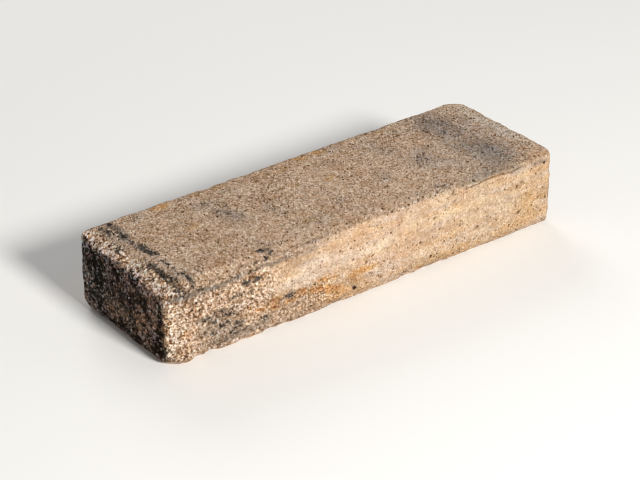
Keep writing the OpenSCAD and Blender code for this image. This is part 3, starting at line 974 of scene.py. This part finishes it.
def concrete():
    material = bpy.data.materials.new("concrete")
    material.use_nodes = True
    t = Nodes(material.node_tree)
    shader = next(n for n in material.node_tree.nodes if n.type == "BSDF_PRINCIPLED")
    place = t.add("ShaderNodeTexCoord").outputs["Object"]
    mm = t.scaled(place, (1000.0, 1000.0, 1000.0))
    along = t.scaled(place, (1000.0 / 7.0, 1000.0, 1000.0))  # stretched along the block
    turned = t.add("ShaderNodeVectorRotate", {"Vector": place, "Angle": math.radians(37.5)}, rotation_type="Z_AXIS").outputs[0]
    grit = t.scaled(turned, (1000.0 / 0.98, 1000.0 / 1.42, 1000.0))

    def attribute(name):
        return t.add("ShaderNodeAttribute", attribute_name=name).outputs["Fac"]

    stain, haze, glaze, orange, pale = (attribute(n) for n in ("charcoal", "veil", "film", "rust", "cream"))
    rough_zone, open_skin, cavity_in = (attribute(n) for n in ("coarse", "pitted", "cavity"))
    yellowed, end_stain_and_shade, toned_here = attribute("olive"), attribute("dark_end_stain_and_shade"), attribute("toned")

    def pick_of(node):
        return t.add("ShaderNodeSeparateColor", {"Color": node.outputs["Color"]}).outputs

    def moved(by):
        return t.add("ShaderNodeVectorMath", {0: grit, 1: by}, operation="ADD").outputs[0]

    def warm(k):
        """A multiplying tint of brightness k. Dark concrete is browner, pale concrete whiter."""
        return (k**0.80, k**1.05, k**1.50)

    def darker(colour, amount, by):
        """The colour with the given share of a multiplying tint laid on."""
        return t.blend(amount, colour, t.blend(1.0, colour, (*by, 1), "MULTIPLY"))

    # Ground tone: pinkish taupe, sand and brown in soft clouds and streaks along the block
    cloud = t.noise(mm, 16.0, 3.0, 0.6)
    streak = t.noise(along, 4.5, 3.0, 0.6)
    tone = t.maths("ADD", t.maths("MULTIPLY", cloud, 0.6), t.maths("MULTIPLY", streak, 0.4))
    ground = t.ramp(
        tone,
        [
            (0.34, (0.450, 0.290, 0.183)),
            (0.46, (0.520, 0.360, 0.247)),
            (0.54, (0.528, 0.388, 0.286)),
            (0.66, (0.578, 0.431, 0.311)),
        ],
    )
    breakup = t.noise(mm, 2.6, 4.0, 0.68)
    lift = t.maths("SUBTRACT", breakup, 0.5)
    pale_here = t.maths("MULTIPLY", t.span(t.maths("ADD", pale, t.maths("MULTIPLY", lift, 0.45)), 0.05, 0.9), 0.85)
    ground = t.blend(pale_here, ground, (0.640, 0.513, 0.396, 1))
    orange_here = t.maths("MULTIPLY", t.span(t.maths("ADD", orange, lift), 0.15, 0.95), t.span(orange, 0.0, 0.2))
    orange_tint = t.ramp(orange, [(0.3, (0.500, 0.325, 0.165)), (0.8, (0.500, 0.285, 0.120)), (1.0, (0.480, 0.255, 0.105))])
    ground = t.blend(t.maths("MULTIPLY", orange_here, 0.95), ground, orange_tint)
    ground = darker(ground, yellowed, (0.915, 0.917, 0.862))
    sallow = t.ramp(t.noise(along, 8.0, 2.0, 0.5), [(0.38, (1.035, 0.994, 0.91)), (0.5, (1.0, 1.0, 1.0)), (0.62, (0.965, 1.004, 1.09))])
    ground = t.blend(t.span(yellowed, 0.0, 0.33), ground, t.blend(1.0, ground, sallow, "MULTIPLY"))
    mottle = t.noise(mm, 4.2, 3.0, 0.6)
    ground = t.blend(1.0, ground, t.ramp(mottle, [(0.32, grey(0.84)), (0.5, grey(1.0)), (0.68, grey(1.13))]), "MULTIPLY")

    def dots(vector, size, share, small, large, edge=0.06):
        """Round spots of mixed sizes in the given share of the cells."""
        node = t.cells(vector, size)
        pick = pick_of(node)
        radius = t.span(pick[1], 0.0, 1.0, small, large, False)
        inside = t.span(node.outputs["Distance"], t.maths("SUBTRACT", radius, edge), t.maths("ADD", radius, edge), 1.0, 0.0)
        return t.maths("MULTIPLY", inside, t.maths("LESS_THAN", pick[0], share)), pick[2]

    def by_skin(closed, opened):
        return t.span(open_skin, 0.0, 1.0, closed, opened, False)

    # Sand in the skin: a grainy paste, pale grains, and pits of about a millimetre darkened as painted shade
    wobble = t.add("ShaderNodeTexNoise", {"Vector": mm, "Scale": 0.7, "Detail": 1.5}).outputs["Color"]
    wobble = t.add("ShaderNodeVectorMath", {0: wobble, 1: (1.7, 1.7, 1.7), 2: grit}, operation="MULTIPLY_ADD").outputs[0]

    def wobbly(by):
        return t.add("ShaderNodeVectorMath", {0: wobble, 1: by}, operation="ADD").outputs[0]

    paste = t.noise(grit, 1.3, 2.0, 0.62)
    off = t.maths("MULTIPLY", t.maths("SUBTRACT", paste, 0.5), by_skin(1.0, 2.1))
    swing = [t.maths("MULTIPLY_ADD", off, k, 1.0) for k in (0.80, 1.05, 1.45)]
    grain = t.blend(1.0, ground, t.add("ShaderNodeCombineColor", dict(zip(("Red", "Green", "Blue"), swing))).outputs[0], "MULTIPLY")
    light, light_pick = dots(wobbly((61.3, 23.9, 7.1)), 1.6, by_skin(0.35, 0.66), 0.22, 0.42)
    grain = t.blend(t.maths("MULTIPLY", light, by_skin(0.28, 0.82)), grain, (0.83, 0.70, 0.57, 1))
    # Painted shade: the fine pits, the gaps and the sunken ground round the gaps are darkened
    fine_pits, _ = dots(wobbly((13.1, 47.9, 3.7)), 1.45, by_skin(0.35, 0.80), 0.20, 0.40)
    grain = darker(grain, t.maths("MULTIPLY", fine_pits, by_skin(0.70, 1.0)), warm(0.50))
    gap_field = t.noise(moved((37.3, 11.9, 71.7)), 2.4, 2.5, 0.62)
    gaps, gap_pick = dots(wobbly((37.3, 11.9, 71.7)), 1.9, t.maths("SUBTRACT", by_skin(0.62, 1.45), t.maths("MULTIPLY", gap_field, 1.25)), 0.16, 0.37)
    gap_depth = t.span(gap_pick, 0.0, 1.0, 0.55, 1.0, False)
    grain = darker(grain, t.maths("MULTIPLY", gaps, gap_depth), warm(0.14))
    hushed = t.span(gap_field, 0.36, 0.50, 1.0, 0.0)
    grain = darker(grain, t.maths("MULTIPLY", hushed, by_skin(0.25, 0.80)), warm(0.60))

    # Worn places: the coarse sand is laid bare, with the hollows between the grains darkened as painted shade
    lean = Vector((-0.531, -0.690, 0.492))
    depth = t.add("ShaderNodeVectorMath", {0: mm, 1: lean}, operation="DOT_PRODUCT").outputs["Value"]
    coarse_at = t.add("ShaderNodeVectorMath", {0: depth, 1: lean * -0.5, 2: mm}, operation="MULTIPLY_ADD").outputs[0]
    bent = t.add("ShaderNodeTexNoise", {"Vector": mm, "Scale": 0.7, "Detail": 1.5}).outputs["Color"]
    bent = t.add("ShaderNodeVectorMath", {0: bent, 1: (1.7, 1.7, 1.7), 2: coarse_at}, operation="MULTIPLY_ADD").outputs[0]

    def beside(vector, by):
        return t.add("ShaderNodeVectorMath", {0: vector, 1: by}, operation="ADD").outputs[0]

    stones = t.cells(bent, 1.75)
    stone_pick = pick_of(stones)
    stone_tone = t.ramp(
        stone_pick[0],
        [(0.0, (0.36, 0.235, 0.155)), (0.2, (0.52, 0.36, 0.245)), (0.5, (0.69, 0.53, 0.385)), (0.8, (0.83, 0.69, 0.54)), (1.0, (0.91, 0.80, 0.67))],
    )
    stone_hue = t.ramp(stone_pick[2], [(0.0, (1.0, 0.77, 0.46)), (0.3, (1.0, 0.93, 0.82)), (0.6, (0.99, 1.0, 0.98)), (1.0, (0.92, 0.985, 1.01))])
    stone_tone = t.blend(1.0, stone_tone, stone_hue, "MULTIPLY")
    stone_in = t.span(stones.outputs["Distance"], 0.36, 0.50, 1.0, 0.0)
    stone_in = t.maths("MULTIPLY", stone_in, t.span(stone_pick[1], 0.20, 0.30))
    hollow_field = t.noise(beside(coarse_at, (5.7, 91.3, 43.9)), 1.85, 2.0, 0.6)
    hollow_dots, hollow_pick = dots(beside(bent, (71.9, 5.3, 31.7)), 1.95, 0.90, 0.22, 0.47)
    hollow_in = t.maths("MAXIMUM", t.span(hollow_field, 0.39, 0.46, 0.85, 0.0), t.maths("MULTIPLY", hollow_dots, t.span(hollow_pick, 0.0, 1.0, 0.6, 1.0, False)))
    bare = t.blend(t.maths("MULTIPLY", stone_in, 0.75), grain, stone_tone)
    bare = darker(bare, t.maths("MULTIPLY", orange_here, 0.9), (0.97, 0.76, 0.52))
    sunlit = t.span(rough_zone, 0.80, 0.98)
    clump_and_highlight = t.span(t.noise(beside(coarse_at, (83.1, 2.9, 51.3)), 3.2, 2.0, 0.5), 0.38, 0.60)
    # Painted shade in the hollows between the bare grains, deeper on the fully worn slope
    hollow_deep = t.maths("MULTIPLY_ADD", sunlit, t.maths("MULTIPLY_ADD", clump_and_highlight, -0.15, 0.18), 0.82)
    bare = darker(bare, t.maths("MULTIPLY", hollow_in, hollow_deep), (0.145, 0.056, 0.008))
    # Painted highlight: bare grains are brightened a little everywhere and up to about 2.5 times on the fully worn
    # slope (sunlit)
    clump_and_highlight = t.ramp(clump_and_highlight, [(0.0, (1.15, 1.10, 1.05)), (1.0, (2.55, 2.50, 2.50))])
    bare = t.blend(1.0, bare, t.blend(sunlit, (1.16, 1.15, 1.14, 1), clump_and_highlight), "MULTIPLY")
    bare = t.add("ShaderNodeVectorMath", {0: bare, 1: (0.97, 0.85, 0.735)}, operation="MINIMUM").outputs[0]
    bare = t.add("ShaderNodeHueSaturation", {"Saturation": 0.94, "Color": bare}).outputs[0]
    worn_here = t.span(rough_zone, 0.0, 0.85)
    grain = t.blend(worn_here, grain, bare)

    # The dark -X end is tinted purplish brown and darkened: soot stain and painted shade both
    end_tint_and_shade = t.noise(beside(coarse_at, (2.1, 77.3, 31.9)), 4.2, 3.0, 0.76)
    end_tint_and_shade = t.ramp(end_tint_and_shade, [(0.36, (0.39, 0.462, 0.62)), (0.50, (0.485, 0.46, 0.545)), (0.64, (0.675, 0.455, 0.385))])
    grain = t.blend(end_stain_and_shade, grain, t.blend(1.0, grain, end_tint_and_shade, "MULTIPLY"))

    # Grey haze, then charcoal pigment that leaves single grains showing
    haze_here = t.maths("ADD", haze, t.maths("MULTIPLY", lift, t.span(haze, 0.0, 0.5, 0.0, 0.9)), clamp=True)
    grain = darker(grain, haze_here, (0.62, 0.725, 0.875))
    glaze_here = t.maths("ADD", glaze, t.maths("MULTIPLY", lift, t.span(glaze, 0.0, 0.5, 0.0, 1.1)), clamp=True)
    grain = darker(grain, glaze_here, (0.40, 0.40, 0.41))
    covering = t.maths("MULTIPLY", t.maths("MULTIPLY", glaze_here, 0.66), t.maths("SUBTRACT", 1.0, end_stain_and_shade, clamp=True))
    grain = t.blend(covering, grain, (0.228, 0.192, 0.160, 1))
    soot_field = t.noise(beside(coarse_at, (17.9, 3.3, 29.1)), 1.5, 2.0, 0.65)
    spread = t.span(soot_field, 0.32, 0.68, 0.0, 1.0, False)
    level = t.maths("ADD", t.maths("MULTIPLY", spread, 0.65), t.maths("MULTIPLY", stone_pick[2], 0.35))
    clots = t.span(t.noise(beside(coarse_at, (41.3, 7.7, 63.9)), 2.1, 2.5, 0.62), 0.36, 0.64, 0.0, 1.0, False)
    clotted = t.maths("ADD", t.maths("MULTIPLY", clots, 0.75), t.maths("MULTIPLY", stone_pick[2], 0.25))
    level = t.maths("ADD", t.maths("MULTIPLY", clotted, end_stain_and_shade), t.maths("MULTIPLY", level, t.maths("SUBTRACT", 1.0, end_stain_and_shade)))
    cover = t.maths("ADD", t.maths("MULTIPLY", stain, 0.85), t.maths("MULTIPLY", haze, 0.24))
    cover = t.maths("ADD", cover, t.maths("MULTIPLY", lift, t.span(cover, 0.0, 0.5, 0.0, 0.7)))
    blotch = t.maths("MULTIPLY", t.maths("SUBTRACT", t.noise(beside(coarse_at, (3.1, 57.7, 9.9)), 6.0, 2.0, 0.6), 0.5), 0.9)
    cover = t.maths("ADD", cover, t.maths("MULTIPLY", blotch, end_stain_and_shade))
    soot = t.span(t.maths("SUBTRACT", cover, level), t.span(end_stain_and_shade, 0.0, 1.0, -0.05, -0.28), t.span(end_stain_and_shade, 0.0, 1.0, 0.12, 0.24))
    soot_top = t.blend(t.span(stain, 0.55, 1.0), (0.125, 0.106, 0.094, 1), (0.070, 0.061, 0.057, 1))
    crust = t.noise(beside(coarse_at, (66.1, 30.7, 12.3)), 1.6, 2.0, 0.62)
    sooty = t.blend(t.span(crust, 0.40, 0.62), (0.010, 0.0078, 0.0062, 1), soot_top)
    # On the -X end the soot is darker still: stain and painted shade both
    grain = t.blend(t.maths("MULTIPLY", soot, t.span(end_stain_and_shade, 0.0, 1.0, 0.93, 0.97)), grain, darker(sooty, end_stain_and_shade, (0.155, 0.13, 0.12)))
    flecks, fleck_pick = dots(beside(bent, (19.7, 83.3, 47.1)), 2.2, 0.46, 0.16, 0.40)
    fleck_here = t.maths("MULTIPLY", t.maths("MULTIPLY", flecks, end_stain_and_shade), t.span(fleck_pick, 0.0, 1.0, 0.10, 0.95, False))
    grain = t.blend(fleck_here, grain, t.blend(fleck_pick, (0.60, 0.44, 0.33, 1), (0.56, 0.49, 0.43, 1)))

    # Ochre and greenish zones of that end
    grain = darker(grain, t.maths("MAXIMUM", toned_here, 0.0), (1.10, 0.99, 0.80))
    grain = darker(grain, t.maths("MAXIMUM", t.maths("MULTIPLY", toned_here, -1.0), 0.0), (0.86, 1.06, 1.13))

    # In worn places single grains flicker, the hollows are browner and the bare stones greyer
    flicker = t.noise(beside(coarse_at, (9.1, 44.7, 81.3)), 1.5, 1.5, 0.55)
    flicker = t.ramp(flicker, [(0.33, grey(0.42)), (0.5, grey(0.98)), (0.67, grey(1.80))])
    laid_bare = t.maths("MAXIMUM", t.maths("MULTIPLY", worn_here, t.span(glaze_here, 0.0, 0.8, 0.36, 0.10)), end_stain_and_shade)
    grain = t.blend(laid_bare, grain, t.blend(1.0, grain, flicker, "MULTIPLY"))
    lightness = t.add("ShaderNodeRGBToBW", {"Color": grain}).outputs[0]
    against = t.maths("DIVIDE", lightness, t.span(end_stain_and_shade, 0.68, 0.92, 0.38, 0.044, False))
    # Painted highlight: on the ledge the brighter grains are lifted further
    ledge_highlight_gain = t.maths("MULTIPLY_ADD", t.maths("MULTIPLY", t.span(against, 0.75, 1.5), attribute("ledge")), 0.22, 1.0)
    against = t.maths("MAXIMUM", t.maths("MINIMUM", against, t.span(end_stain_and_shade, 0.68, 0.92, 1.3, 1.9, False)), 0.12)
    shift = [t.maths("MULTIPLY", t.maths("POWER", against, k), ledge_highlight_gain) for k in (-0.08, 0.015, 0.19)]
    shift = t.add("ShaderNodeCombineColor", dict(zip(("Red", "Green", "Blue"), shift))).outputs[0]
    kept_grey = t.maths("MAXIMUM", soot, t.maths("MULTIPLY", t.maths("MAXIMUM", haze_here, glaze_here), 0.6))
    kept_grey = t.maths("MULTIPLY", kept_grey, t.span(end_stain_and_shade, 0.70, 0.90, 0.95, 0.0))
    shift_here = t.maths("MULTIPLY", t.maths("MAXIMUM", worn_here, end_stain_and_shade), t.maths("SUBTRACT", 1.0, kept_grey))
    grain = t.blend(shift_here, grain, t.blend(1.0, grain, shift, "MULTIPLY"))

    # Pores and the hollows of the surface are darkened: painted shade
    pores = t.cells(wobble, 4.4)
    pore_pick = pick_of(pores)
    pore_r = t.span(pore_pick[1], 0.0, 1.0, 0.05, 0.14, False)
    pore = t.span(pores.outputs["Distance"], t.maths("MULTIPLY", pore_r, 0.6), t.maths("ADD", pore_r, 0.03), 1.0, 0.0)
    pore = t.maths("MULTIPLY", pore, t.maths("GREATER_THAN", pore_pick[0], t.span(open_skin, 0.0, 1.0, 0.72, 0.45, False)))
    hollow = t.maths("MAXIMUM", t.maths("MULTIPLY", pore, 0.85), t.span(cavity_in, 0.2, 1.0, 0.0, 0.8), clamp=True)
    grain = darker(grain, hollow, warm(0.10))
    t.put(shader.inputs["Base Color"], grain)

    # Roughness: dry and matt, bare grains a little smoother than the paste
    t.put(shader.inputs["Roughness"], t.span(t.maths("MAXIMUM", light, stone_in), 0.0, 1.0, 0.95, 0.78, False))
    shader.inputs["Specular IOR Level"].default_value = 0.03

    # Height of paste, grains, gaps and pores
    height = t.maths("MULTIPLY", t.maths("SUBTRACT", paste, 0.5), by_skin(1.6, 3.4))
    height = t.maths("ADD", height, t.maths("MULTIPLY", light, by_skin(0.2, 0.6)))
    height = t.maths("SUBTRACT", height, t.maths("MULTIPLY", fine_pits, by_skin(0.3, 0.6)))
    height = t.maths("SUBTRACT", height, t.maths("MULTIPLY", gaps, by_skin(0.9, 1.3)))
    height = t.maths("SUBTRACT", height, t.maths("MULTIPLY", hushed, by_skin(0.1, 0.5)))
    height = t.maths("SUBTRACT", height, t.maths("MULTIPLY", pore, 1.5))
    worn_height = t.maths("SUBTRACT", t.maths("MULTIPLY", stone_in, 1.0), t.maths("MULTIPLY", hollow_in, 1.6))
    worn_height = t.maths("MULTIPLY", worn_height, t.maths("MULTIPLY_ADD", sunlit, 0.5, 1.0))
    height = t.maths("ADD", height, t.maths("MULTIPLY", worn_height, worn_here))
    knobs = t.maths("MULTIPLY", t.maths("SUBTRACT", t.noise(beside(coarse_at, (29.3, 63.1, 8.7)), 2.6, 1.0, 0.5), 0.5), 4.0)
    height = t.maths("ADD", height, t.maths("MULTIPLY", knobs, sunlit))
    bump = t.add("ShaderNodeBump", {"Strength": 0.8, "Distance": 0.00045, "Height": height})
    t.put(shader.inputs["Normal"], bump.outputs[0])
    return material


block_obj.data.materials.append(concrete())
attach(block_obj, "root")
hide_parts("wall_block")

# ---------------------------------------------------------------- stage
floor_mesh = bpy.data.meshes.new("floor")
size = 6.0
floor_mesh.from_pydata([(-size, -size, 0), (size, -size, 0), (size, size, 0), (-size, size, 0)], [], [(0, 1, 2, 3)])
floor = bpy.data.objects.new("floor", floor_mesh)
bpy.context.scene.collection.objects.link(floor)
floor_paint = bpy.data.materials.new("floor_paint")
floor_paint.use_nodes = True
paint = floor_paint.node_tree.nodes["Principled BSDF"]
paint.inputs["Base Color"].default_value = (0.93, 0.93, 0.92, 1)
paint.inputs["Roughness"].default_value = 0.9
floor_mesh.materials.append(floor_paint)

scene = bpy.context.scene
world = bpy.data.worlds.new("studio")
world.use_nodes = True
world.node_tree.nodes["Background"].inputs["Color"].default_value = (0.975, 0.965, 0.955, 1)
world.node_tree.nodes["Background"].inputs["Strength"].default_value = 0.26
scene.world = world


def area_light(name, at, towards, wide, power, colour=(1, 1, 1)):
    lamp = bpy.data.lights.new(name, "AREA")
    lamp.shape, lamp.size, lamp.energy, lamp.color = "DISK", wide, power, colour
    o = bpy.data.objects.new(name, lamp)
    o.location = at
    o.rotation_euler = (Vector(towards) - Vector(at)).to_track_quat("-Z", "Y").to_euler()
    scene.collection.objects.link(o)
    return o


area_light("key", (0.0, -1.85, 1.10), (0, 0, 0.02), 0.5, 55.0, (0.995, 0.967, 0.925))
area_light("rim", (0.5, 1.8, 0.9), (0, 0, 0.02), 1.2, 14.0)

# ---------------------------------------------------------------- camera
AZIMUTH, ELEVATION, ROLL = -37.555, 29.4687, 0.0722
DISTANCE, SHIFT_X, SHIFT_Y, FOCAL = 1.36434, -0.002287, -0.009424, 2176.78
a, e, r = (math.radians(v) for v in (AZIMUTH, ELEVATION, ROLL))
back = Vector((math.sin(a) * math.cos(e), -math.cos(a) * math.cos(e), math.sin(e)))
right = Vector((math.cos(a), math.sin(a), 0))
up = back.cross(right)
right, up = right * math.cos(r) + up * math.sin(r), up * math.cos(r) - right * math.sin(r)
middle = Vector((0, 0, HALF[2] / 1000))
spot = middle + back * DISTANCE + right * SHIFT_X + up * SHIFT_Y
lens = bpy.data.cameras.new("camera")
lens.sensor_width = 36.0
lens.lens = FOCAL * 36.0 / 640.0
camera = bpy.data.objects.new("camera", lens)
camera.matrix_world = Matrix.Translation(spot) @ Matrix((right, up, back)).transposed().to_4x4()
scene.collection.objects.link(camera)
scene.camera = camera
scene.view_settings.view_transform = "Standard"
scene.cycles.filter_width = 1.1
